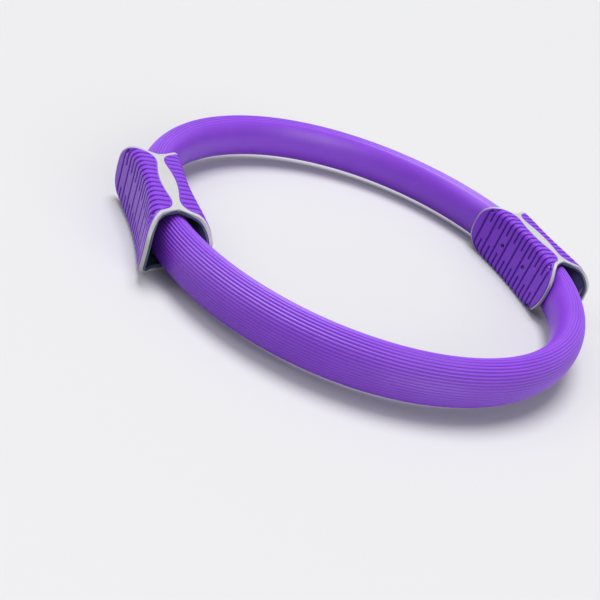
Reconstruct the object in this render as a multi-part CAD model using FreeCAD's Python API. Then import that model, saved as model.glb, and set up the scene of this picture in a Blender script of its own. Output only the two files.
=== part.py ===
import FreeCAD, Part
import math
import os

# A flexible exercise ring with two grips, lying flat on a surface.
# Millimetres, +Z up. The origin is the ring's centre, on the surface it lies on.
# The grips sit on the X axis. The front half of the hoop is on the -Y side.

# Hoop
ring_radius = 170.0          # centre line of the foam sleeve
sleeve_thickness = 22.5      # across the sleeve, towards the ring's centre
sleeve_height = 37.0         # along the ring's axis
strip_thickness = 2.4        # one leaf of the flat spring
strip_width = 24.0           # along the ring's axis
leaf_gap = 0.4               # between the outer and the inner leaf
strip_slot_gap = 0.3         # around the leaves, in everything they pass through
strip_end_reach = 4.0        # distance from the middle of the grip to a strip's end

# Grip: a straight body with a waist and two wide mouths
grip_length = 117.0
grip_height = 47.5
waist_width = 32.0
mouth_width = 45.0
grip_inset = 4.0             # the grip's middle plane lies inside the centre line
waist_edge_round = 5.0       # between a grip face and the top or bottom, at the waist
mouth_edge_round = 15.0      # the same at the mouths, where the grip is rounder
edge_growth_power = 4        # the round stays small along the waist and grows near the mouths
least_edge_round = 0.5       # inside a thick wall the round shrinks no further than this
mouth_depth = 20.0           # how far each mouth's notch cuts back into the top
notch_round = 10.0           # radius of the notch, seen from above
notch_angle = 40.0           # degrees between a notch's straight side and the grip's length
end_round = 18.0             # corners of a grip face, seen from the side
end_round_lift = 0.5         # the corners' arcs start above the top and cut it at a slight angle
crown_trim = 0.05            # cut off the top and bottom to leave a flat to rest on

# Pads
pad_thickness = 2.0
pad_border = 1.3             # shell left bare around a pad, at the mouths
spine_width_middle = 12.2    # bare strip between the pads, at the waist
spine_width_narrow = 5.9     # the same near its ends
spine_narrow_reach = 25.0    # distance from the waist to where the spine is that narrow
pad_tip_round = 9.0          # where the spine widens again towards a notch
pad_corner_round = 22.0      # corners of a pad, seen from the side
pad_fit_gap = 0.1
groove_pitch = 6.0
groove_width = 2.0
groove_depth = 1.1
short_groove_reach = 14.0    # how far a short groove runs down a grip face
groove_end_margin = 8.0      # plain rubber at each end of a pad

# Shells, inner frame and screws
shell_skin = 1.0             # shell behind a pad
parting_gap = 0.2
frame_wall = 1.2
frame_fit_gap = 0.15
frame_setback = 0.6          # the frame ends this far inside a mouth
clamp_length = 44.0          # solid middle of the frame
screw_spacing = 34.0
screw_radius = 1.75
screw_head_radius = 3.0
screw_head_height = 2.2
screw_fit_gap = 0.15
screw_hole_in_strip = 2.4    # radius
screw_tip_wall = 1.5         # shell left in front of a screw's tip
screw_cup_depth = 5.0        # from the inner face of the shell's wall to the cup's end
screw_cup_wall = 1.5
socket_radius = 1.0          # drive recess in a screw's head

# Sleeve ends and stop collars
sleeve_end_reach = 33.0      # distance from the middle of the grip to a sleeve's end
collar_thickness = 16.0
collar_height = 31.0
collar_gap = 0.4
sleeve_gap = 0.5             # room left around a sleeve inside a mouth

# Worked out from the sizes above
half_length = grip_length / 2
half_height = grip_height / 2
half_waist = waist_width / 2
half_mouth = mouth_width / 2
grip_centre = ring_radius - grip_inset
mid_z = half_height
waist_rise = half_mouth - half_waist
side_radius = (half_length ** 2 + waist_rise ** 2) / (2 * waist_rise)
shell_wall = pad_thickness + shell_skin
frame_outside = shell_wall + frame_fit_gap
frame_inside = frame_outside + frame_wall
notch_centre = half_length - mouth_depth + notch_round
leaf_stack = 2 * strip_thickness + leaf_gap
slot_thickness = leaf_stack + 2 * strip_slot_gap
slot_height = strip_width + 2 * strip_slot_gap
screw_places = (-screw_spacing / 2, screw_spacing / 2)
section_steps = 4            # loft sections on each side of the waist
far = 4 * mouth_width        # longer than any cut needs to be
up = FreeCAD.Vector(0, 0, 1)
origin = FreeCAD.Vector(0, 0, 0)


def point(x, y, z=0.0):
    return FreeCAD.Vector(x, y, z)


def line(start, end):
    return Part.LineSegment(start, end).toShape()


def arc(start, middle, end):
    return Part.Arc(start, middle, end).toShape()


def prism(edges, direction):
    return Part.Face(Part.Wire(edges)).extrude(direction)


def joined(shapes):
    """One shape from several that touch or overlap."""
    first = shapes[0]
    whole = first.multiFuse(shapes[1:]) if len(shapes) > 1 else first
    return whole.removeSplitter()


def side_reach(inset, along):
    """Half width of the grip, moved inwards by inset, at a distance along it."""
    return half_waist + side_radius - math.sqrt((side_radius + inset) ** 2 - along ** 2)


def edge_round(inset, along):
    """Radius between a grip face and the top, moved inwards by inset, at a distance along it."""
    growth = (mouth_edge_round - waist_edge_round) * (along / half_length) ** edge_growth_power
    return max(waist_edge_round + growth - inset, least_edge_round)


def grip_section(inset, along):
    """Rounded rectangle across the grip, as a closed wire."""
    wide = side_reach(inset, along)
    tall = half_height + crown_trim - inset
    bend = edge_round(inset, along)
    middle = bend * (1 - math.sqrt(0.5))
    corners = []
    for side, height in ((1, 1), (-1, 1), (-1, -1), (1, -1)):
        on_side = point(grip_centre + side * wide, along, mid_z + height * (tall - bend))
        between = point(grip_centre + side * (wide - middle), along, mid_z + height * (tall - middle))
        on_level = point(grip_centre + side * (wide - bend), along, mid_z + height * tall)
        corner = [on_side, between, on_level]
        corners.append(corner if side == height else corner[::-1])
    edges = []
    for index, corner in enumerate(corners):
        edges.append(arc(*corner))
        edges.append(line(corner[2], corners[(index + 1) % len(corners)][0]))
    return Part.Wire(edges)


def waisted_body(inset):
    """The grip's hourglass, moved inwards by inset, longer than the grip itself."""
    reach = half_length + pad_thickness + shell_wall
    stations = [reach * step / section_steps for step in range(-section_steps, section_steps + 1)]
    return Part.makeLoft([grip_section(inset, along) for along in stations], True, False)


def grip_room(inset, corner_round):
    """A grip's outline seen from the side, with round corners and both ends moved inwards by inset."""
    reach = half_length - inset
    side = grip_centre - far / 2
    tall = grip_height + 2 * end_round_lift
    block = Part.makeBox(far, 2 * reach, tall, point(side, -reach, -end_round_lift))
    corners = [edge for edge in block.Edges if edge.BoundBox.XLength > far / 2]
    level = Part.makeBox(far, 2 * reach, grip_height, point(side, -reach))
    return block.makeFillet(corner_round, corners).common(level)


def notch_cutters(grow):
    """Upright prisms that cut a round-bottomed notch into the top and bottom at both mouths."""
    slant = math.radians(notch_angle)
    radius = notch_round + grow
    touch_out = radius * math.cos(slant)
    touch_along = notch_centre - radius * math.sin(slant)
    far_out = touch_out + far * math.sin(slant)
    far_along = touch_along + far * math.cos(slant)
    right_side = [(touch_out, touch_along), (far_out, far_along)]
    left_side = [(-far_out, far_along), (-touch_out, touch_along)]
    low = mid_z - far / 2
    cutters = []
    for end in (-1, 1):
        corners = [point(grip_centre + out, end * along, low) for out, along in right_side + left_side]
        deepest = point(grip_centre, end * (notch_centre - radius), low)
        edges = [arc(corners[-1], deepest, corners[0])]
        for start, finish in zip(corners[:-1], corners[1:]):
            edges.append(line(start, finish))
        cutters.append(prism(edges, point(0, 0, far)))
    return cutters


def half_space(side, gap):
    """Everything beyond the grip's middle plane, on the outer (1) or inner (-1) side."""
    start = grip_centre + gap if side > 0 else grip_centre - gap - far
    return Part.makeBox(far, 2 * far, 2 * far, point(start, -far, mid_z - far))


def along_x(radius, start_x, end_x, along):
    """A round bar on a screw's axis."""
    return Part.makeCylinder(radius, end_x - start_x, point(start_x, along, mid_z), point(1, 0, 0))


def ring_sector(inner, outer, height, start_angle, end_angle):
    """A piece of a flat ring around the hoop's axis, angles in degrees from +X."""
    section = [
        point(inner, 0, mid_z - height / 2),
        point(outer, 0, mid_z - height / 2),
        point(outer, 0, mid_z + height / 2),
        point(inner, 0, mid_z + height / 2),
    ]
    face = Part.Face(Part.makePolygon(section + section[:1]))
    face.rotate(origin, up, start_angle)
    return face.revolve(origin, up, end_angle - start_angle)


def angle_at(distance, radius=ring_radius):
    """Angle along the hoop, on a circle of one radius, at a distance from the middle of a grip."""
    return math.degrees(math.asin(distance / radius))


def grip_body():
    """The outside of a whole grip, with its two mouths notched."""
    return waisted_body(0.0).common(grip_room(0.0, end_round)).cut(notch_cutters(0.0))


def pad_region(side, grow):
    """The upright prism that one pad fills, grown by a fit gap."""
    border = pad_border - grow
    spine_middle = spine_width_middle / 2 - grow
    narrowing = (spine_width_middle - spine_width_narrow) / 2
    bend = (spine_narrow_reach ** 2 + narrowing ** 2) / (2 * narrowing)
    past = notch_centre - notch_round
    past_width = spine_middle - bend + math.sqrt(bend ** 2 - past ** 2)
    low = mid_z - far / 2
    beyond = grip_centre + side * mouth_width
    inside = grip_centre + side * past_width
    edges = [
        arc(
            point(inside, -past, low),
            point(grip_centre + side * spine_middle, 0, low),
            point(inside, past, low),
        ),
        line(point(inside, past, low), point(inside, half_length, low)),
        line(point(inside, half_length, low), point(beyond, half_length, low)),
        line(point(beyond, half_length, low), point(beyond, -half_length, low)),
        line(point(beyond, -half_length, low), point(inside, -half_length, low)),
        line(point(inside, -half_length, low), point(inside, -past, low)),
    ]
    region = prism(edges, point(0, 0, far))
    region = region.cut(notch_cutters(border))
    tips = []
    for edge in region.Edges:
        upright = edge.BoundBox.ZLength > grip_height
        near_spine = abs(edge.CenterOfMass.x - grip_centre) < spine_width_narrow / 2
        if upright and near_spine:
            tips.append(edge)
    region = region.makeFillet(pad_tip_round + grow, tips)
    return region.common(grip_room(border, pad_corner_round))


def groove_cutters():
    """Slabs across the outer half of a grip that cut the grooves to one depth all over a pad."""
    count = int((half_length - groove_end_margin) / groove_pitch)
    plain_height = grip_height - 2 * short_groove_reach
    slabs = []
    for index in range(-count, count + 1):
        start = index * groove_pitch - groove_width / 2
        slab = Part.makeBox(mouth_width, groove_width, far, point(grip_centre, start, mid_z - far / 2))
        if index % 2:
            plain_start = point(grip_centre, start, mid_z - plain_height / 2)
            slab = slab.cut(Part.makeBox(mouth_width, groove_width, plain_height, plain_start))
        slabs.append(slab)
    return Part.makeCompound(slabs).cut(waisted_body(groove_depth))


def screw_seat():
    """X of the face that a screw's head bears on, inside the inner shell's cup."""
    return grip_centre - side_reach(shell_wall, 0.0) + screw_cup_depth - screw_cup_wall


def screw_tip():
    """X of a screw's tip, inside the outer shell's boss."""
    return grip_centre + side_reach(screw_tip_wall + pad_thickness, 0.0)


def make_outer_pad(grip):
    rubber = grip.common(pad_region(1, 0.0))
    return rubber.cut(waisted_body(pad_thickness)).cut(groove_cutters())


def make_inner_pad(outer_pad):
    """The outer pad's mirror image, with openings for the screw heads."""
    openings = [
        along_x(screw_head_radius + screw_fit_gap, grip_centre - far, grip_centre, along)
        for along in screw_places
    ]
    return outer_pad.mirror(point(grip_centre, 0), point(1, 0)).cut(openings)


def pad_pocket(side):
    """The recess in a shell that takes a pad."""
    return pad_region(side, pad_fit_gap).cut(waisted_body(pad_thickness + pad_fit_gap))


def make_shell(side, grip):
    pocket = pad_pocket(side)
    shell = grip.common(half_space(side, parting_gap / 2))
    shell = shell.cut(waisted_body(shell_wall))
    wall_x = grip_centre + side * side_reach(shell_wall, 0.0)
    face_x = grip_centre + side * side_reach(0.0, screw_spacing / 2)
    if side > 0:
        bosses = [
            along_x(screw_head_radius + screw_cup_wall, wall_x - screw_cup_depth, face_x, along)
            for along in screw_places
        ]
        holes = [
            along_x(screw_radius + screw_fit_gap, wall_x - far, screw_tip(), along)
            for along in screw_places
        ]
    else:
        cup_outside = screw_head_radius + screw_fit_gap + screw_cup_wall
        bosses = [
            along_x(cup_outside, face_x, wall_x + screw_cup_depth, along)
            for along in screw_places
        ]
        holes = []
        for along in screw_places:
            holes.append(along_x(screw_head_radius + screw_fit_gap, face_x - far, screw_seat(), along))
            holes.append(along_x(screw_radius + screw_fit_gap, face_x, grip_centre, along))
    return joined([shell] + bosses).cut(pocket).cut(holes)


def make_frame():
    """Dark lining of both mouths, with a solid middle that takes the strip ends."""
    lining = waisted_body(frame_outside)
    hollow = waisted_body(frame_inside)
    middle_start = point(grip_centre - far / 2, -clamp_length / 2, mid_z - far / 2)
    solid_middle = Part.makeBox(far, clamp_length, far, middle_start)
    frame = lining.cut(hollow.cut(solid_middle))
    frame = frame.common(grip_room(frame_setback, end_round)).cut(notch_cutters(frame_setback))
    frame = frame.cut(strip_slot())
    mouth_start = angle_at(clamp_length / 2 + collar_gap, ring_radius - sleeve_thickness / 2)
    mouth_end = 2 * angle_at(half_length)
    for first, last in ((mouth_start, mouth_end), (-mouth_end, -mouth_start)):
        frame = frame.cut(sleeve_tube(sleeve_gap, first, last))
    boss_room = screw_head_radius + screw_cup_wall + 2 * screw_fit_gap
    outer_wall = grip_centre + side_reach(shell_wall, 0.0)
    inner_wall = grip_centre - side_reach(shell_wall, 0.0)
    for along in screw_places:
        frame = frame.cut([
            along_x(screw_radius + screw_fit_gap, inner_wall - far, outer_wall + far, along),
            along_x(boss_room, outer_wall - screw_cup_depth - screw_fit_gap, outer_wall + far, along),
            along_x(boss_room, inner_wall - far, inner_wall + screw_cup_depth + screw_fit_gap, along),
        ])
    return frame


def strip_slot():
    """Room for both leaves, all the way through a grip."""
    reach = 2 * angle_at(half_length)
    inner = ring_radius - slot_thickness / 2
    outer = ring_radius + slot_thickness / 2
    return ring_sector(inner, outer, slot_height, -reach, reach)


def make_screws():
    screws = []
    seat = screw_seat()
    for along in screw_places:
        head = along_x(screw_head_radius, seat - screw_head_height, seat, along)
        shank = along_x(screw_radius, seat, screw_tip(), along)
        socket = along_x(socket_radius, seat - screw_head_height, seat - screw_head_height / 2, along)
        screws.append(joined([head, shank]).cut(socket))
    return Part.makeCompound(screws)


def make_collar(end):
    """Stop collar on the strip ends, between the frame and the sleeve."""
    inner = ring_radius - collar_thickness / 2
    outer = ring_radius + collar_thickness / 2
    start = angle_at(clamp_length / 2 + collar_gap, inner)
    finish = angle_at(sleeve_end_reach - collar_gap)
    first, last = (start, finish) if end > 0 else (-finish, -start)
    return ring_sector(inner, outer, collar_height, first, last).cut(strip_slot())


def sleeve_tube(grow, start, finish):
    """The sleeve's oval section carried around the hoop, angles in degrees from +X."""
    centre = point(ring_radius, 0, mid_z)
    top = point(ring_radius, 0, mid_z + sleeve_height / 2 + grow)
    side = point(ring_radius + sleeve_thickness / 2 + grow, 0, mid_z)
    face = Part.Face(Part.Wire(Part.Ellipse(top, side, centre).toShape()))
    face.rotate(origin, up, start)
    return face.revolve(origin, up, finish - start)


def make_sleeve():
    """Foam sleeve of the rear half, with the slot that its strips fill."""
    start = angle_at(sleeve_end_reach)
    inner = ring_radius - slot_thickness / 2
    outer = ring_radius + slot_thickness / 2
    foam = sleeve_tube(0.0, start, 180 - start)
    return foam.cut(ring_sector(inner, outer, slot_height, 0, 180))


def make_strip(side):
    """One leaf of the flat spring in the rear half, on the outer or inner side."""
    inner = ring_radius + leaf_gap / 2 if side > 0 else ring_radius - leaf_gap / 2 - strip_thickness
    start = angle_at(strip_end_reach)
    leaf = ring_sector(inner, inner + strip_thickness, strip_width, start, 180 - start)
    both_holes = along_x(screw_hole_in_strip, -2 * ring_radius, 2 * ring_radius, screw_spacing / 2)
    return leaf.cut(both_holes)


def turned(shape):
    """The same piece at the opposite side of the ring."""
    copy = shape.copy()
    copy.rotate(origin, up, 180)
    return copy


def main():
    os.makedirs("parts", exist_ok=True)
    grip = grip_body()
    outer_pad = make_outer_pad(grip)
    right_grip = {
        "outer_shell": make_shell(1, grip),
        "inner_shell": make_shell(-1, grip),
        "outer_pad": outer_pad,
        "inner_pad": make_inner_pad(outer_pad),
        "inner_frame": make_frame(),
        "shell_screws": make_screws(),
    }
    rear_half = {
        "foam_sleeve": make_sleeve(),
        "outer_spring_strip": make_strip(1),
        "inner_spring_strip": make_strip(-1),
    }
    pieces = {}
    for name, shape in right_grip.items():
        pieces["right_" + name] = shape
        pieces["left_" + name] = turned(shape)
    for name, shape in rear_half.items():
        pieces["rear_" + name] = shape
        pieces["front_" + name] = turned(shape)
    rear_collar = make_collar(1)
    front_collar = make_collar(-1)
    pieces["right_rear_stop_collar"] = rear_collar
    pieces["right_front_stop_collar"] = front_collar
    pieces["left_front_stop_collar"] = turned(rear_collar)
    pieces["left_rear_stop_collar"] = turned(front_collar)
    for name, shape in pieces.items():
        shape.exportStep(os.path.join("parts", name + ".step"))
        print(name, "solids", len(shape.Solids), "volume", round(shape.Volume), "valid", shape.isValid())


main()
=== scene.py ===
import math

import bmesh
import bpy
import numpy as np
from mathutils import Matrix, Vector
from mathutils.geometry import delaunay_2d_cdt


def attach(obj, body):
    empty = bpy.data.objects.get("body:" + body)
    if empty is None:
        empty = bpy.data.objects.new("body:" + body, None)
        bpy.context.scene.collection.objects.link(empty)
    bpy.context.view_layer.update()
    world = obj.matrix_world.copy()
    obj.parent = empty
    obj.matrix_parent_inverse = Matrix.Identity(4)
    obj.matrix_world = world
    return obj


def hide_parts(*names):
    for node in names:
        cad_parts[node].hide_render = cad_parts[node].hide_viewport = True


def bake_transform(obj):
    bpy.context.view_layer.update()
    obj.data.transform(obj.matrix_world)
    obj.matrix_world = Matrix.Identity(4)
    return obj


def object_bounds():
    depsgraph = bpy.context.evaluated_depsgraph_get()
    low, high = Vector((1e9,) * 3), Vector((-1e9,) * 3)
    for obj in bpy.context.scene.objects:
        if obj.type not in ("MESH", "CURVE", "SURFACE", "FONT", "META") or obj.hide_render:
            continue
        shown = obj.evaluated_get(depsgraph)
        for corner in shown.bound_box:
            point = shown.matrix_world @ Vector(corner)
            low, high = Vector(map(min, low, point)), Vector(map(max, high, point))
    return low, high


# A flexible exercise ring with two grips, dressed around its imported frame.
# Sizes are in millimetres and become metres when a mesh is made.
# The grips sit on the X axis, and the front half of the hoop is on the -Y side.

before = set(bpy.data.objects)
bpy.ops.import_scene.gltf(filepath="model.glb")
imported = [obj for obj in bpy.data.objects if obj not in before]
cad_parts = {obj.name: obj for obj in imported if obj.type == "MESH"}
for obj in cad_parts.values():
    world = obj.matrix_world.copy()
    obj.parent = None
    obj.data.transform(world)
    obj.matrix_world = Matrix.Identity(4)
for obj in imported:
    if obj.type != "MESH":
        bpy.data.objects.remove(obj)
cad_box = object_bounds()
MM = 0.001

# Hoop
ring_radius = 170.0
sleeve_thickness = 22.5
sleeve_height = 37.0
sleeve_end_reach = 33.0
rib_pitch = 2.2
rib_depth = 0.85
rib_depth_share = 0.5        # ribs at mid height are this much as deep as those at the top
rib_steps = 10               # points across one rib
ribbed_half = 30.8           # length of the ribbed stretch, each way from the outermost line
rib_fade = 8.0
smooth_step = 1.5            # point spacing on the smooth inner face
arc_step = 2.0               # degrees between rings of points
seam_step = 0.05             # the ring of points beside a seam, in degrees
girth_points = 4001          # points of the oval that its girth is measured with
sleeve_end_round = 1.2
sleeve_end_profile = ((0.0, 1.0), (0.3, 0.35), (0.7, 0.1))  # shares of that round: along, inwards

# Spring strips
strip_thickness = 2.4
strip_width = 24.0
leaf_gap = 0.4
strip_end_reach = 4.0
strip_edge_round = 0.4
strip_corner_steps = 3

# Grip
grip_length = 117.0
grip_height = cad_box[1].z / MM
waist_width = 32.0
mouth_width = 45.0
grip_inset = 4.0
waist_edge_round = 5.0
mouth_edge_round = 15.0
edge_growth_power = 4
mouth_depth = 20.0
notch_round = 10.0
notch_angle = 40.0
end_round = 18.0
end_round_lift = 0.5
rim_corner_round = 6.0       # where a notch's side meets the round end
rim_step = 0.25              # point spacing while that corner is rounded
arc_points = 40              # points on a round stretch of an edge, before its steps are made even
spine_points = 60            # the same for the long sides at the spine
run_points = 80              # the same for a notch's slanting side

# Pads
pad_border = 1.3
pad_thickness = 2.0
pad_edge_round = 0.8
spine_width_middle = 11.8
spine_width_narrow = 5.8
spine_narrow_reach = 25.0
pad_tip_round = 15.0
pad_corner_round = 21.0
pad_edge_step = 0.4          # point spacing along a pad's edge
pad_corner_ease = 4.5        # the pad's corners are rounded over this reach
pad_row_step = 0.6           # rows of points on a pad's face
pad_row_reach = 44.0         # they run this far around the grip's section, each way
pad_point_room = 0.2         # points on a pad's face stay this clear of its round edges
pad_under_step = 3.0         # points on a pad's hidden side
pad_under_reach = (54.0, 42.0)  # they run this far along the grip and around it, each way
pad_under_room = 1.0         # they stay this clear of the edges
groove_pitch = 6.0
groove_count = 8             # each way from the middle
groove_width = 2.5
groove_depth = 1.4
groove_wall_power = 4        # a higher power gives steeper walls and a flatter bottom
groove_steps = (0, 0.5, 0.72, 0.88, 1.0, 1.15, 1.6)  # point columns across half a groove and its land
groove_lip = 1.7             # plain rubber between a groove's end and the pad's edge
short_groove_end = 9.7       # height above the middle of a face where a short groove stops
land_crown = 0.16

# Shells
shell_wall = 3.0
shell_inset = 0.5            # the shell lies this far below the pads
shell_edge_round = 0.6
parting_gap = 0.02
parting_round = 0.05
inner_round_share = 0.4      # a rim's inner edge is rounded this much as far as the outer one
rim_growth = 4.0             # the rim's edge round grows to its full size over this length
pocket_gap = 0.15
pocket_depth = 2.1
pocket_round = 0.3           # the edge of the pocket that holds a pad
pocket_bend = (0.1, 0.06)    # a point on that round: out from the wall, and down
pocket_draft = 0.04          # the pocket's wall leans in by this much
screw_spacing = 34.0
screw_opening = 1.9
opening_round = 0.8
shell_edge_step = 0.5        # point spacing along a shell's edge
shell_point_step = 2.0       # points on a shell's two faces
shell_point_reach = (58.0, 54.0)  # they run this far along the grip and around it, each way
shell_point_room = 0.4       # they stay this clear of the rim's round
pocket_point_room = 0.9      # and this clear of the pocket's edge
opening_point_room = 0.6     # and of an opening on the outer face
opening_under_room = 0.8     # and of an opening on the inner face

# Lips of the inner frame, just inside the mouths
lip_setback = 0.45
lip_width = 2.6
lip_round = 0.35
lip_inside = 4.5             # depth of a lip's inner face below the grip's surface
lip_gap = 0.1
lip_ends = {"outer": 0.0, "inner": 12.5}  # lips stop here, as a distance around the grip's section
rim_wall = 1.5               # depth of the shell's inner edge where a notch is deepest
thin_from = 27.0             # distances around the section between which the rim grows thin
thin_to = 37.0

# Triangles
circle_points = 32
merge_distance = 1e-7
hole_slack = 0.002           # triangles with their middle this far inside a hole's circle are left out
tiny = 1e-12                 # keeps a division by the length of an edge from failing

# Colours, as linear values
foam_colour = (0.29, 0.055, 0.80)
foam_shade = (0.27, 0.050, 0.76)
# painted shade: darker foam at the bottom of the sleeve's rib valleys
foam_painted_groove_shade = (0.135, 0.02, 0.43)
rubber_colour = (0.25, 0.040, 0.74)
rubber_shade = (0.235, 0.036, 0.70)
# painted shade: darker rubber at the bottom of the pads' grooves
rubber_painted_groove_shade = (0.09, 0.010, 0.37)
shell_colour = (0.57, 0.57, 0.58)
shell_shade = (0.53, 0.53, 0.545)
frame_colour = (0.085, 0.105, 0.17)
frame_shade = (0.07, 0.087, 0.14)
strip_colour = (0.5, 0.46, 0.33)
strip_shade = (0.42, 0.38, 0.26)
collar_colour = (0.02, 0.02, 0.024)
screw_colour = (0.5, 0.5, 0.52)
floor_colour = (0.67, 0.67, 0.68)
floor_bounce = (0.34, 0.34, 0.35)
sky_colour = (0.55, 0.55, 0.56)
sky_light = (0.27, 0.27, 0.27)

# Finish of the surfaces
noise_range = (0.3, 0.7)     # nearly all values of a noise lie between these
patch_range = (0.35, 0.65)   # noise values between which two colours mix
grain_detail = 2.0
grain_strength = 0.6
floor_roughness = 0.7
floor_specular = 0.2

# Studio, in metres and degrees
camera_place = Vector((-0.31118, -0.46121, 0.27678))
camera_azimuth = -31.0
camera_elevation = 30.63
camera_roll = 22.0
camera_lens = 46.26          # this and the sensor's width are in millimetres
camera_sensor = 36.0
camera_nearest = 0.01
floor_reach = 12.0
panels = {                   # each with the direction it stands in, its spread and its strength
    "top_panel": ((-0.02, 0.28, 0.96), 32, 2.5),
    "left_panel": ((-0.65, 0.2, 0.73), 40, 0.6),
    "front_panel": ((0.28, -0.88, 0.38), 40, 0.95),
}

# Worked out from the sizes above
half_length = grip_length / 2
half_height = grip_height / 2
half_waist = waist_width / 2
grip_centre = ring_radius - grip_inset
mid_z = half_height
waist_rise = (mouth_width - waist_width) / 2
side_radius = (half_length ** 2 + waist_rise ** 2) / (2 * waist_rise)
notch_centre = half_length - mouth_depth + notch_round
quarter_turn = math.pi / 2


# Grip surface

def section(along):
    """Half width of a grip and the radius of its long edges, at distances along it."""
    wide = half_waist + side_radius - np.sqrt(side_radius ** 2 - along ** 2)
    share = (along / half_length) ** edge_growth_power
    bend = waist_edge_round + (mouth_edge_round - waist_edge_round) * share
    return wide, bend


def grip_point(along, around):
    """Points on a grip half: out from its middle plane, along it, and up from mid height."""
    wide, bend = section(along)
    face = half_height - bend
    reach = np.abs(around)
    turn = np.clip((reach - face) / bend, 0, quarter_turn)
    past = np.maximum(reach - face - bend * quarter_turn, 0)
    out = wide - bend + bend * np.cos(turn) - past
    up = np.sign(around) * (np.minimum(reach, face) + bend * np.sin(turn))
    return np.stack([out, along, up], axis=-1)


def grip_normal(along, around):
    """Directions straight out of a grip's surface."""
    step = 0.01
    length = grip_point(along + step, around) - grip_point(along - step, around)
    girth = grip_point(along, around + step) - grip_point(along, around - step)
    normal = np.cross(length, girth)
    return normal / np.linalg.norm(normal, axis=-1, keepdims=True)


def sunk(flat_points, depth):
    """Points of the unrolled grip surface, wrapped on the grip and sunk below its surface."""
    along, around = flat_points[:, 0], flat_points[:, 1]
    return grip_point(along, around) - grip_normal(along, around) * np.asarray(depth)[..., None]


def around_at_out(along, out):
    """Where a grip section comes as near as out to the middle plane, on its upper half."""
    wide, bend = section(along)
    flat = wide - bend
    turn = np.arccos(np.clip((out - flat) / bend, 0, 1))
    return half_height - bend + bend * turn + np.maximum(flat - out, 0)


def around_at_up(along, up):
    """Where a grip section is as high as up, on its face or its upper edge."""
    wide, bend = section(along)
    face = half_height - bend
    turn = np.arcsin(np.clip((up - face) / bend, 0, 1))
    return np.where(up < half_height, np.minimum(up, face) + bend * turn, np.inf)


# Outlines on the unrolled grip surface

def resampled(points, spacing):
    """The same open line with even steps."""
    lengths = np.linalg.norm(np.diff(points, axis=0), axis=1)
    travelled = np.concatenate([[0], np.cumsum(lengths)])
    count = max(2, int(round(travelled[-1] / spacing)) + 1)
    wanted = np.linspace(0, travelled[-1], count)
    return np.stack([np.interp(wanted, travelled, points[:, axis]) for axis in (0, 1)], axis=1)


def eased(line, reach, spacing):
    """An open line with even steps, and with its corners rounded over a reach."""
    line = resampled(line, spacing)
    for _ in range(int(2 * (reach / spacing) ** 2)):
        line[1:-1] = line[1:-1] / 2 + (line[2:] + line[:-2]) / 4
    return line


def mouth_line(border, corner, first_turn):
    """A mouth's edge moved inwards by a border, from its notch to the middle of the end."""
    slant = math.radians(notch_angle)
    radius = notch_round + border
    reach = half_length - border
    turn = np.linspace(first_turn, quarter_turn - slant, arc_points)
    along = notch_centre - radius * np.cos(turn)
    out = radius * np.sin(turn)
    run = (reach - along[-1]) * (1 - np.linspace(1, 0, run_points)[1:] ** 2)
    along = np.append(along, along[-1] + run)
    out = np.append(out, out[-1] + run * math.tan(slant))
    past = np.maximum(along - reach + corner, 0)
    up = half_height + end_round_lift - corner + np.sqrt(np.maximum(corner ** 2 - past ** 2, 0))
    around = np.minimum(around_at_out(along, out), around_at_up(along, up))
    return np.concatenate([np.stack([along, around], axis=1), [[reach, 0.0]]])


def rim_quarter():
    """Upper right quarter of a shell's edge: the parting line, then the edge of the mouth."""
    middle = parting_gap / 2
    apex = notch_centre - math.sqrt(notch_round ** 2 - middle ** 2)
    along = np.linspace(0, apex, spine_points)
    parting = np.stack([along, around_at_out(along, np.full_like(along, middle))], axis=1)
    rim = mouth_line(0.0, end_round, math.asin(middle / notch_round))
    return parting, eased(rim, rim_corner_round, rim_step)


def pad_quarter():
    """Upper right quarter of a pad's edge: the spine's side, a round tip, then the mouth's side."""
    narrowing = (spine_width_middle - spine_width_narrow) / 2
    bend = (spine_narrow_reach ** 2 + narrowing ** 2) / (2 * narrowing)
    border_radius = notch_round + pad_border
    spine_centre = complex(spine_width_middle / 2 - bend, 0)
    mouth_centre = complex(0, notch_centre)
    apart = mouth_centre - spine_centre
    to_spine, to_mouth = bend + pad_tip_round, border_radius + pad_tip_round
    share = (to_spine ** 2 - to_mouth ** 2 + abs(apart) ** 2) / (2 * abs(apart))
    aside = math.sqrt(to_spine ** 2 - share ** 2)
    tip_centre = spine_centre + apart / abs(apart) * complex(share, -aside)

    spine_turn = np.angle(tip_centre - spine_centre)
    mouth_turn = np.angle(tip_centre - mouth_centre)
    spine_side = spine_centre + bend * np.exp(1j * np.linspace(0, spine_turn, spine_points))
    tip_turns = np.linspace(spine_turn + math.pi, mouth_turn + math.pi, arc_points)
    tip = tip_centre + pad_tip_round * np.exp(1j * tip_turns)
    plan = np.concatenate([spine_side, tip[1:]])
    upper = np.stack([plan.imag, around_at_out(plan.imag, plan.real)], axis=1)
    mouth_side = mouth_line(pad_border, pad_corner_round, mouth_turn + quarter_turn)
    return np.concatenate([upper, mouth_side[1:]])


def mirrored_outline(quarter):
    """A closed outline from its upper right quarter, clockwise from the top."""
    lower = quarter[::-1][1:] * [1, -1]
    half = np.concatenate([quarter, lower])
    return np.concatenate([half, half[::-1][1:-1] * [-1, 1]])


def inward(outline, distance):
    """A clockwise outline moved inwards, by one distance or by one for each point."""
    tangent = np.roll(outline, -1, axis=0) - np.roll(outline, 1, axis=0)
    tangent = tangent / np.linalg.norm(tangent, axis=1, keepdims=True)
    normal = np.stack([tangent[:, 1], -tangent[:, 0]], axis=1)
    return outline + normal * np.broadcast_to(distance, len(outline))[:, None]


def pad_outline():
    """A pad's edge."""
    return mirrored_outline(eased(pad_quarter(), pad_corner_ease, pad_edge_step))


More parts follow.
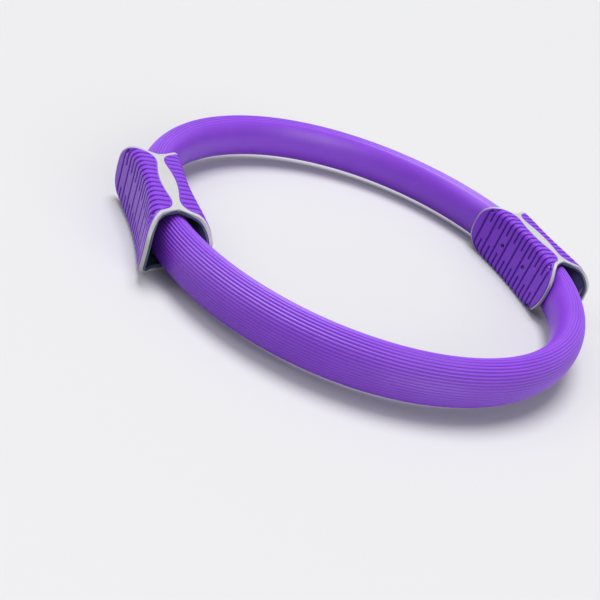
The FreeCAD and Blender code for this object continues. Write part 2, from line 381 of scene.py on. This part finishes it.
def shell_outline():
    """A shell's edge, and for each of its points how much it is rounded."""
    parting, rim = rim_quarter()
    parting = resampled(parting, shell_edge_step)[:-1]
    quarter = np.concatenate([parting, resampled(rim, shell_edge_step)])
    outline = mirrored_outline(quarter)
    corner = quarter[len(parting)]
    clear = np.linalg.norm(np.abs(outline) - corner, axis=1)
    grown = parting_round + (shell_edge_round - parting_round) * np.clip(clear / rim_growth, 0, 1)
    return outline, np.where(np.abs(outline[:, 0]) < corner[0], parting_round, grown)


def rim_depth(points):
    """Depth of a shell's inner face near its rim: thin where a notch is deepest."""
    share = np.clip((np.abs(points[:, 1]) - thin_from) / (thin_to - thin_from), 0, 1)
    return shell_wall - (shell_wall - rim_wall) * share ** 2 * (3 - 2 * share)


def inside_distance(points, outline):
    """Distance from each point to a closed outline, below zero outside it."""
    nearest = np.full(len(points), np.inf)
    crossings = np.zeros(len(points), int)
    for start, end in zip(outline, np.roll(outline, -1, axis=0)):
        edge = end - start
        share = np.clip((points - start) @ edge / max(edge @ edge, tiny), 0, 1)
        gap = points - start - share[:, None] * edge
        nearest = np.minimum(nearest, np.einsum("ij,ij->i", gap, gap))
        if start[1] != end[1]:
            spans = (points[:, 1] < start[1]) != (points[:, 1] < end[1])
            at = start[0] + (points[:, 1] - start[1]) * edge[0] / edge[1]
            crossings += spans & (points[:, 0] < at)
    return np.sqrt(nearest) * np.where(crossings % 2, 1, -1)


# Wrapped sheets

def lattice(columns, rows):
    """Points at all crossings of columns, along the grip, and rows, around it."""
    return np.stack(np.meshgrid(columns, rows), axis=-1).reshape(-1, 2)


def even_steps(reach, step):
    """Numbers with an even step, as far as reach each way from zero."""
    return np.arange(-reach, reach + step / 2, step)


def even_lattice(reaches, step):
    """A lattice with even steps, with its reach along the grip and around it."""
    return lattice(*[even_steps(reach, step) for reach in reaches])


def circle(centre, radius):
    """Points of a circle on the unrolled grip surface."""
    turn = np.linspace(0, 2 * math.pi, circle_points, endpoint=False)
    return np.array(centre) + radius * np.stack([np.sin(turn), np.cos(turn)], axis=1)


def clear_of(holes, points, room):
    """Whether points lie outside all holes, with some room to spare."""
    clear = np.ones(len(points), bool)
    for centre, radius in holes:
        clear &= np.linalg.norm(points - centre, axis=1) > radius + room
    return clear


def triangulated(loops, free_points, holes):
    """Triangles between closed loops and free points, outside the holes. The points keep their order."""
    points = np.concatenate(loops + [free_points])
    edges = []
    start = 0
    for loop in loops:
        count = len(loop)
        edges += [(start + i, start + (i + 1) % count) for i in range(count)]
        start += count
    found = delaunay_2d_cdt([Vector(point) for point in points], edges, [], 1, merge_distance)
    source = [original[0] for original in found[3]]
    triangles = np.array([[source[i] for i in face] for face in found[2]])
    middle = points[triangles].mean(axis=1)
    return points, triangles[clear_of(holes, middle, -hole_slack)]


def round_profile(radius, steps=5):
    """Pairs of (distance from an edge, depth) over a rounded edge, from the edge inwards."""
    turns = np.linspace(0, quarter_turn, steps)
    return [(radius * (1 - math.cos(turn)), radius * (1 - math.sin(turn))) for turn in turns]


def stitched(first, second, count):
    """Quads between two loops of equal length that start at these indices."""
    quads = []
    for i in range(count):
        j = (i + 1) % count
        quads.append((first + i, first + j, second + j, second + i))
    return quads


def hole_walls(holes, upper, lower, rings):
    """Walls of the holes of a sheet, with several rings of points in its upper face and one below."""
    walls = []
    for _ in holes:
        walls += stitched(upper, lower, circle_points)
        upper += circle_points * rings
        lower += circle_points
    return walls


def build_mesh(name, points, faces, hollow=None):
    """A smooth mesh with consistent normals, from points in millimetres.

    The hollow values say how far into a groove each point lies, from 0 to 1, and also set where shade is
    painted into the grooves.
    """
    mesh = bpy.data.meshes.new(name)
    mesh.from_pydata((np.asarray(points) * MM).tolist(), [], [list(map(int, face)) for face in faces])
    working = bmesh.new()
    working.from_mesh(mesh)
    bmesh.ops.recalc_face_normals(working, faces=working.faces)
    working.to_mesh(mesh)
    working.free()
    mesh.polygons.foreach_set("use_smooth", [True] * len(mesh.polygons))
    if hollow is not None:
        mesh.attributes.new("hollow", "FLOAT", "POINT").data.foreach_set("value", hollow)
    mesh.update()
    return mesh


def add_piece(name, mesh, material):
    """A new object in the scene."""
    piece = bpy.data.objects.new(name, mesh)
    bpy.context.scene.collection.objects.link(piece)
    mesh.materials.append(material)
    return piece


def placed(points, side, facing):
    """Grip points at the right (1) or left (-1) grip, on its outer (1) or inner (-1) half."""
    out, along, up = points.T
    return np.stack([side * (grip_centre + facing * out), side * along, mid_z + up], axis=1)


# Pads

def groove_field(points, edge_distance):
    """How deep the pad's face lies at points of the flat pad, and how far they are into a groove."""
    along, around = points.T
    index = np.round(along / groove_pitch)
    index = np.clip(index, -groove_count, groove_count)
    across = np.abs(along - index * groove_pitch)
    short = index % 2 == 1
    into_plain = np.where(short, np.maximum(short_groove_end - np.abs(around), 0), 0)
    into_lip = np.maximum(groove_lip - edge_distance, 0)
    distance = np.hypot(across, into_plain + into_lip)
    last_reach = groove_count * groove_pitch
    last = (np.abs(along) > last_reach - groove_pitch) & (np.abs(along) < last_reach)
    looped = last & (np.abs(around) > short_groove_end)
    along_edge = np.abs(edge_distance - groove_lip - groove_width / 2)
    distance = np.where(looped, np.minimum(distance, along_edge), distance)
    share = np.clip(distance / (groove_width / 2), 0, 1)
    hollow = 1 - share ** groove_wall_power
    crown = land_crown * np.clip(1 - across / (groove_pitch / 2), 0, 1) ** 2
    return groove_depth * hollow + crown * np.where(into_plain + into_lip > 0, 0, 1), hollow


def pad_pattern(holes):
    """Points of a pad in grip space, its faces, closed all round, and its hollow values."""
    outline = pad_outline()
    edge = round_profile(pad_edge_round)
    loops = [inward(outline, distance) for distance, _ in edge]
    depths = [np.full(len(outline), depth) for _, depth in edge]
    opening_edge = round_profile(opening_round)
    for centre, radius in holes:
        for distance, depth in opening_edge:
            loops.append(circle(centre, radius + distance))
            depths.append(np.full(circle_points, depth))

    offsets = np.array(groove_steps) * groove_width / 2
    offsets = np.concatenate([-offsets[:0:-1], offsets])
    spread = groove_count + 2
    columns = np.add.outer(np.arange(-spread, spread + 1) * groove_pitch, offsets).ravel()
    field = lattice(columns, even_steps(pad_row_reach, pad_row_step))
    clear = inside_distance(field, outline) > pad_edge_round + pad_point_room
    field = field[clear & clear_of(holes, field, opening_round + pad_point_room)]
    top, top_faces = triangulated(loops, field, holes)
    rise = np.concatenate(depths + [np.zeros(len(field))])
    groove, hollow = groove_field(top, inside_distance(top, outline))

    under_field = even_lattice(pad_under_reach, pad_under_step)
    clear = inside_distance(under_field, outline) > pad_under_room
    under_field = under_field[clear & clear_of(holes, under_field, pad_under_room)]
    under_loops = [outline] + [circle(centre, radius) for centre, radius in holes]
    under, under_faces = triangulated(under_loops, under_field, holes)

    points = np.concatenate([sunk(top, rise + groove), sunk(under, np.full(len(under), pad_thickness))])
    faces = top_faces.tolist() + (under_faces + len(top)).tolist()
    faces += stitched(0, len(top), len(outline))
    upper = len(outline) * len(edge)
    lower = len(top) + len(outline)
    faces += hole_walls(holes, upper, lower, len(opening_edge))
    return points, faces, np.concatenate([hollow, np.zeros(len(under))])


# Shells

def shell_pattern(holes):
    """Points of a half shell in grip space and its faces, with the pocket for its pad.

    A shell has no grooves, so it has no hollow values.
    """
    outline, rounding = shell_outline()
    pocket = pad_outline()
    edge = round_profile(1.0)
    loops = [inward(outline, distance * rounding) for distance, _ in edge]
    depths = [shell_inset + depth * rounding for _, depth in edge]
    pocket_edge = [
        (-pocket_gap - pocket_round, shell_inset),
        (-pocket_gap - pocket_bend[0], shell_inset + pocket_bend[1]),
        (-pocket_gap, shell_inset + pocket_round),
        (-pocket_gap + pocket_draft, pocket_depth),
    ]
    for distance, depth in pocket_edge:
        loops.append(inward(pocket, distance))
        depths.append(np.full(len(pocket), depth))
    for centre, radius in holes:
        loops.append(circle(centre, radius))
        depths.append(np.full(circle_points, pocket_depth))

    lattice_points = even_lattice(shell_point_reach, shell_point_step)
    off_rim = inside_distance(lattice_points, outline) > shell_edge_round + shell_point_room
    off_pocket = np.abs(inside_distance(lattice_points, pocket)) > pocket_point_room
    off_openings = clear_of(holes, lattice_points, opening_point_room)
    field = lattice_points[off_rim & off_pocket & off_openings]
    top, top_faces = triangulated(loops, field, holes)
    in_pocket = inside_distance(field, pocket) > 0
    rise = np.concatenate(depths + [np.where(in_pocket, pocket_depth, shell_inset)])

    under_round = rounding * inner_round_share
    rim_inside = np.where(rounding > parting_round, rim_depth(outline), shell_wall)
    under_loops = [inward(outline, distance * under_round) for distance, _ in edge]
    under_depths = [rim_inside - depth * under_round for _, depth in edge]
    for centre, radius in holes:
        under_loops.append(circle(centre, radius))
        under_depths.append(np.full(circle_points, shell_wall))
    under_field = lattice_points[off_rim & clear_of(holes, lattice_points, opening_under_room)]
    under, under_faces = triangulated(under_loops, under_field, holes)
    lip_room = lip_setback + lip_width + lip_gap
    beside_lip = inside_distance(under_field, outline) < lip_room
    beside_lip &= np.abs(under_field[:, 0]) > half_length - mouth_depth - lip_room
    fall = np.concatenate(under_depths + [np.where(beside_lip, rim_depth(under_field), shell_wall)])

    points = np.concatenate([sunk(top, rise), sunk(under, fall)])
    faces = top_faces.tolist() + (under_faces + len(top)).tolist()
    faces += stitched(0, len(top), len(outline))
    upper = len(outline) * len(edge) + len(pocket) * len(pocket_edge)
    lower = len(top) + len(outline) * len(edge)
    faces += hole_walls(holes, upper, lower, 1)
    return points, faces, None


def lip_pattern(stop):
    """Points of a frame's lip behind the rim of a half shell's right mouth, and its faces."""
    outline, _ = shell_outline()
    deep = rim_depth(outline) + lip_gap
    inside = np.full_like(deep, lip_inside)
    front, back = lip_setback, lip_setback + lip_width
    profile = [
        (front + lip_round, deep),
        (front, deep + lip_round),
        (front, inside - lip_round),
        (front + lip_round, inside),
        (back, inside),
        (back, deep),
    ]
    chosen = (outline[:, 0] > half_length - mouth_depth) & (outline[:, 1] >= stop)
    lines = [sunk(inward(outline, distance)[chosen], depth[chosen]) for distance, depth in profile]
    count = len(lines[0])
    faces = []
    for line in range(len(profile)):
        following = (line + 1) % len(profile)
        for i in range(count - 1):
            here, there = line * count + i, following * count + i
            faces.append((here, here + 1, there + 1, there))
    for end in (0, count - 1):
        faces.append([line * count + end for line in range(len(profile))])
    return np.concatenate(lines), faces


# Hoop

def angle_at(distance):
    """Angle along the hoop at a distance from the middle of a grip, in degrees."""
    return math.degrees(math.asin(distance / ring_radius))


def sleeve_section():
    """The sleeve's ribbed oval, out from its middle and up from mid height, and its hollow values."""
    half_thick, half_tall = sleeve_thickness / 2, sleeve_height / 2
    turn = np.linspace(-math.pi, math.pi, girth_points)
    oval = np.stack([half_thick * np.cos(turn), half_tall * np.sin(turn)], axis=1)
    steps = np.linalg.norm(np.diff(oval, axis=0), axis=1)
    travelled = np.concatenate([[0], np.cumsum(steps)])
    travelled -= travelled[-1] / 2
    girth = 2 * travelled[-1]
    ribs = np.arange(-ribbed_half, ribbed_half, rib_pitch / rib_steps)
    rest = np.arange(ribbed_half, girth - ribbed_half - smooth_step / 2, smooth_step)
    at = np.concatenate([ribs, rest])
    wrapped = np.where(at > girth / 2, at - girth, at)
    turn_at = np.interp(wrapped, travelled, turn)
    points = np.stack([half_thick * np.cos(turn_at), half_tall * np.sin(turn_at)], axis=1)
    normal = np.stack([np.cos(turn_at) / half_thick, np.sin(turn_at) / half_tall], axis=1)
    normal /= np.linalg.norm(normal, axis=1, keepdims=True)
    strength = np.clip((ribbed_half - np.abs(wrapped)) / rib_fade, 0, 1)
    to_top = np.clip(np.abs(wrapped) / ribbed_half, 0, 1)
    strength = strength * (rib_depth_share + (1 - rib_depth_share) * to_top)
    hollow = strength * (1 - np.abs(np.sin(math.pi * wrapped / rib_pitch)))
    return points - normal * (rib_depth * hollow)[:, None], hollow


def swept(section_points, hollow, angles, shrink):
    """A closed section and its hollow values, carried round the hoop and capped at both ends."""
    count = len(section_points)
    length = np.linalg.norm(section_points, axis=1, keepdims=True)
    rings = []
    for angle, inset in zip(angles, shrink):
        ring = section_points * (1 - inset / length)
        radius = ring_radius + ring[:, 0]
        turn = math.radians(angle)
        right, rear = radius * math.cos(turn), radius * math.sin(turn)
        rings.append(np.stack([right, rear, mid_z + ring[:, 1]], axis=1))
    faces = []
    for index in range(len(angles) - 1):
        faces += stitched(index * count, (index + 1) * count, count)
    last = (len(angles) - 1) * count
    middles = [rings[0].mean(axis=0), rings[-1].mean(axis=0)]
    points = np.concatenate(rings + [np.array(middles)])
    for start, middle in ((0, len(points) - 2), (last, len(points) - 1)):
        faces += [(start + i, start + (i + 1) % count, middle) for i in range(count)]
    return points, faces, np.concatenate([np.tile(hollow, len(angles)), [0, 0]])


def quarter_angles(start):
    """Ring angles from the grip's end of a quarter hoop to its seam."""
    count = int(round((90 - start) / arc_step))
    angles = np.linspace(start, 90, count + 1)
    return np.insert(angles, count, 90 - seam_step)


def hoop_place(points, side, half):
    """A quarter hoop made at the right rear, mirrored to its own place."""
    return points * [side, half, 1]


def strip_section(leaf):
    """Rounded rectangle of one leaf of the spring, outer (1) or inner (-1)."""
    middle = leaf * (leaf_gap + strip_thickness) / 2
    corners = []
    for first_turn, out, up in ((0, 1, 1), (1, -1, 1), (2, -1, -1), (3, 1, -1)):
        centre_out = out * (strip_thickness / 2 - strip_edge_round)
        centre_up = up * (strip_width / 2 - strip_edge_round)
        for step in range(strip_corner_steps + 1):
            turn = quarter_turn * (first_turn + step / strip_corner_steps)
            corners.append((
                middle + centre_out + strip_edge_round * math.cos(turn),
                centre_up + strip_edge_round * math.sin(turn),
            ))
    return np.array(corners)


# Materials

def shader(name, colour, roughness):
    """A new material with its principled shader, ready for detail."""
    material = bpy.data.materials.new(name)
    material.use_nodes = True
    nodes = material.node_tree.nodes
    principled = nodes["Principled BSDF"]
    principled.inputs["Base Color"].default_value = (*colour, 1)
    principled.inputs["Roughness"].default_value = roughness
    return material, material.node_tree, principled


def noise(tree, scale, detail=3.0):
    """Solid noise in the object's own place, so that it rides with the piece."""
    place = tree.nodes.new("ShaderNodeTexCoord")
    texture = tree.nodes.new("ShaderNodeTexNoise")
    texture.inputs["Scale"].default_value = scale
    texture.inputs["Detail"].default_value = detail
    tree.links.new(place.outputs["Object"], texture.inputs["Vector"])
    return texture.outputs["Fac"]


def ranged(tree, value, low, high):
    """A noise brought between a low and a high value."""
    node = tree.nodes.new("ShaderNodeMapRange")
    node.inputs["From Min"].default_value = noise_range[0]
    node.inputs["From Max"].default_value = noise_range[1]
    node.inputs["To Min"].default_value = low
    node.inputs["To Max"].default_value = high
    tree.links.new(value, node.inputs["Value"])
    return node.outputs["Result"]


def mottled(tree, principled, colour, other, scale):
    """A soft change between two colours over the surface."""
    ramp = tree.nodes.new("ShaderNodeValToRGB")
    for stop, position, shown in zip(ramp.color_ramp.elements, patch_range, (colour, other)):
        stop.position = position
        stop.color = (*shown, 1)
    tree.links.new(noise(tree, scale), ramp.inputs["Fac"])
    tree.links.new(ramp.outputs["Color"], principled.inputs["Base Color"])


def paint_groove_shade(tree, principled, painted_groove_shade):
    """Painted shade: a darker colour at the bottom of the grooves, from the mesh's own hollow values."""
    hollow = tree.nodes.new("ShaderNodeAttribute")
    hollow.attribute_name = "hollow"
    mix = tree.nodes.new("ShaderNodeMix")
    mix.data_type = "RGBA"
    mix.inputs["B"].default_value = (*painted_groove_shade, 1)
    tree.links.new(hollow.outputs["Fac"], mix.inputs["Factor"])
    tree.links.new(principled.inputs["Base Color"].links[0].from_socket, mix.inputs["A"])
    tree.links.new(mix.outputs["Result"], principled.inputs["Base Color"])


def grained(tree, principled, scale, height):
    """A fine bump, with its height in millimetres."""
    bump = tree.nodes.new("ShaderNodeBump")
    bump.inputs["Strength"].default_value = grain_strength
    bump.inputs["Distance"].default_value = height * MM
    tree.links.new(noise(tree, scale, grain_detail), bump.inputs["Height"])
    tree.links.new(bump.outputs["Normal"], principled.inputs["Normal"])


def finished(
    name, colour, shade, patch_scale, roughness, roughest=None, roughness_scale=None,
    grain_scale=None, grain_height=None, painted_groove_shade=None, specular=0.5, metallic=0.0,
):
    """A material in two close colours, with painted shade in its grooves, uneven roughness and grain
    where they are given.
    """
    material, tree, principled = shader(name, colour, roughness)
    mottled(tree, principled, colour, shade, patch_scale)
    # painted shade at the bottom of grooves and rib valleys, mixed in by the hollow values
    if painted_groove_shade:
        paint_groove_shade(tree, principled, painted_groove_shade)
    if roughest:
        uneven = ranged(tree, noise(tree, roughness_scale), roughness, roughest)
        tree.links.new(uneven, principled.inputs["Roughness"])
    if grain_scale:
        grained(tree, principled, grain_scale, grain_height)
    principled.inputs["Specular IOR Level"].default_value = specular
    principled.inputs["Metallic"].default_value = metallic
    return material


def foam_material():
    return finished(
        "purple_foam", foam_colour, foam_shade, patch_scale=60, painted_groove_shade=foam_painted_groove_shade,
        roughness=0.38, roughest=0.45, roughness_scale=900, grain_scale=2600, grain_height=0.015,
        specular=0.7,
    )


def rubber_material():
    return finished(
        "purple_rubber", rubber_colour, rubber_shade, patch_scale=90, painted_groove_shade=rubber_painted_groove_shade,
        roughness=0.33, roughest=0.40, roughness_scale=700, grain_scale=1800, grain_height=0.015,
        specular=0.4,
    )


def shell_material():
    return finished(
        "light_grey_plastic", shell_colour, shell_shade, patch_scale=40,
        roughness=0.28, roughest=0.38, roughness_scale=500, grain_scale=1400, grain_height=0.02,
    )


def frame_material():
    return finished(
        "slate_plastic", frame_colour, frame_shade, patch_scale=70,
        roughness=0.42, roughest=0.58, roughness_scale=600, grain_scale=1600, grain_height=0.03,
    )


def strip_material():
    return finished(
        "fibreglass", strip_colour, strip_shade, patch_scale=300,
        roughness=0.4, grain_scale=900, grain_height=0.02,
    )


def collar_material():
    return finished(
        "black_plastic", collar_colour, frame_shade, patch_scale=80,
        roughness=0.5, grain_scale=1500, grain_height=0.02,
    )


def screw_material():
    return finished(
        "screw_steel", screw_colour, collar_colour, patch_scale=400,
        roughness=0.25, roughest=0.45, roughness_scale=1500, metallic=1.0,
    )


# Pieces

def dress_grips(shell, rubber):
    """New shells and pads for both grips."""
    screw_places = (-screw_spacing / 2, screw_spacing / 2)
    openings = [(np.array([along, 0.0]), screw_opening) for along in screw_places]
    patterns = {
        "outer": (1, pad_pattern([]), shell_pattern([])),
        "inner": (-1, pad_pattern(openings), shell_pattern(openings)),
    }
    for side_name, side in (("left", -1), ("right", 1)):
        for half_name, (facing, pad, casing) in patterns.items():
            name = side_name + "_" + half_name
            body = side_name + "_handle"
            for kind, slot, pattern, material in (
                ("pad", "pad_rubber", pad, rubber),
                ("shell", "shell_grey", casing, shell),
            ):
                points, faces, hollow = pattern
                mesh = build_mesh(name + "_" + kind, placed(points, side, facing), faces, hollow)
                piece = add_piece(name + "_" + kind + "_skin", mesh, material)
                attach(piece, body)
                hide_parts(name + "_" + kind)


def dress_mouths(slate):
    """The frames' lips at both ends of both grips, at the top and the bottom."""
    for side_name, side in (("left", -1), ("right", 1)):
        for half_name, facing in (("outer", 1), ("inner", -1)):
            points, faces = lip_pattern(lip_ends[half_name])
            for end_name, end in (("front", -1), ("rear", 1)):
                for level_name, level in (("top", 1), ("bottom", -1)):
                    name = "_".join((side_name, half_name, end_name, level_name, "lip"))
                    turned = points * [1, side * end, level]
                    mesh = build_mesh(name, placed(turned, side, facing), faces)
                    piece = add_piece(name, mesh, slate)
                    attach(piece, side_name + "_handle")


def dress_hoop(foam, fibreglass):
    """New sleeves and spring strips, in quarters of the hoop."""
    end_turn = angle_at(sleeve_end_reach)
    sleeve_angles = quarter_angles(end_turn)
    end_steps, end_insets = np.array(sleeve_end_profile).T * sleeve_end_round
    sleeve_angles = np.insert(sleeve_angles, 1, end_turn + np.degrees(end_steps[1:] / ring_radius))
    shrink = np.zeros(len(sleeve_angles))
    shrink[:len(end_insets)] = end_insets
    pieces = {"foam_sleeve": (swept(*sleeve_section(), sleeve_angles, shrink), foam, "sleeve_foam")}
    strip_angles = quarter_angles(angle_at(strip_end_reach))
    flat = np.zeros(len(strip_angles))
    for leaf_name, leaf in (("outer", 1), ("inner", -1)):
        corners = strip_section(leaf)
        strip = swept(corners, np.zeros(len(corners)), strip_angles, flat)
        pieces[leaf_name + "_spring_strip"] = (strip, fibreglass, "spring_strip")

    for half_name, half in (("front", -1), ("rear", 1)):
        for side_name, side in (("left", -1), ("right", 1)):
            for kind, ((points, faces, hollow), material, slot) in pieces.items():
                node = half_name + "_" + kind
                mesh = build_mesh(node, hoop_place(points, side, half), faces, hollow)
                piece = add_piece(node + "_" + side_name, mesh, material)
                if side < 0:
                    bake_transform(piece)
                else:
                    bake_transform(piece)
                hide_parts(node)


def dress_hidden(slate, black, steel):
    """Finishes for the pieces that keep their solid shapes."""
    for name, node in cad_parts.items():
        for ending, material in (("inner_frame", slate), ("stop_collar", black), ("shell_screws", steel)):
            if name.endswith(ending):
                node.data.materials.clear()
                node.data.materials.append(material)


# Studio

def make_camera():
    """The camera of the photo."""
    data = bpy.data.cameras.new("camera")
    data.lens = camera_lens
    data.sensor_width = camera_sensor
    data.clip_start = camera_nearest
    camera = bpy.data.objects.new("camera", data)
    bpy.context.scene.collection.objects.link(camera)
    turn = Matrix.Rotation(math.radians(camera_azimuth), 4, "Z")
    tilt = Matrix.Rotation(math.radians(90 - camera_elevation), 4, "X")
    roll = Matrix.Rotation(math.radians(camera_roll), 4, "Z")
    camera.matrix_world = Matrix.Translation(camera_place) @ turn @ tilt @ roll
    bpy.context.scene.camera = camera


def make_panel(name, direction, spread, strength):
    """Wide soft light from one side of the sky, as strong everywhere."""
    data = bpy.data.lights.new(name, "SUN")
    data.angle = math.radians(spread)
    data.energy = strength
    lamp = bpy.data.objects.new(name, data)
    bpy.context.scene.collection.objects.link(lamp)
    lamp.rotation_euler = (-Vector(direction)).to_track_quat("-Z", "Y").to_euler()


def seen_or_bounced(tree, seen_colour, bounced_colour):
    """One colour for what is seen, also in gloss or through glass, and one for bounced light."""
    path = tree.nodes.new("ShaderNodeLightPath")
    seen = path.outputs["Is Camera Ray"]
    for other in ("Is Glossy Ray", "Is Transmission Ray"):
        larger = tree.nodes.new("ShaderNodeMath")
        larger.operation = "MAXIMUM"
        tree.links.new(seen, larger.inputs[0])
        tree.links.new(path.outputs[other], larger.inputs[1])
        seen = larger.outputs[0]
    mix = tree.nodes.new("ShaderNodeMix")
    mix.data_type = "RGBA"
    mix.inputs["A"].default_value = (*bounced_colour, 1)
    mix.inputs["B"].default_value = (*seen_colour, 1)
    tree.links.new(seen, mix.inputs["Factor"])
    return mix.outputs["Result"]


def make_floor():
    """A wide pale floor under the ring."""
    corners = [(x * floor_reach, y * floor_reach, 0) for x, y in ((-1, -1), (1, -1), (1, 1), (-1, 1))]
    mesh = bpy.data.meshes.new("floor")
    mesh.from_pydata(corners, [], [(0, 1, 2, 3)])
    material, tree, principled = shader("pale_floor", floor_colour, floor_roughness)
    principled.inputs["Specular IOR Level"].default_value = floor_specular
    tree.links.new(seen_or_bounced(tree, floor_colour, floor_bounce), principled.inputs["Base Color"])
    floor = add_piece("floor", mesh, material)


def make_studio():
    """Sky, lights, floor and camera."""
    world = bpy.data.worlds.new("studio")
    world.use_nodes = True
    background = world.node_tree.nodes["Background"]
    sky = seen_or_bounced(world.node_tree, sky_colour, sky_light)
    world.node_tree.links.new(sky, background.inputs["Color"])
    bpy.context.scene.world = world
    for name, (direction, spread, strength) in panels.items():
        make_panel(name, direction, spread, strength)
    make_floor()
    make_camera()
    bpy.context.scene.view_settings.view_transform = "Standard"


def main():
    """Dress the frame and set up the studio."""
    slate = frame_material()
    dress_grips(shell_material(), rubber_material())
    dress_mouths(slate)
    dress_hoop(foam_material(), strip_material())
    dress_hidden(slate, collar_material(), screw_material())
    make_studio()


main()
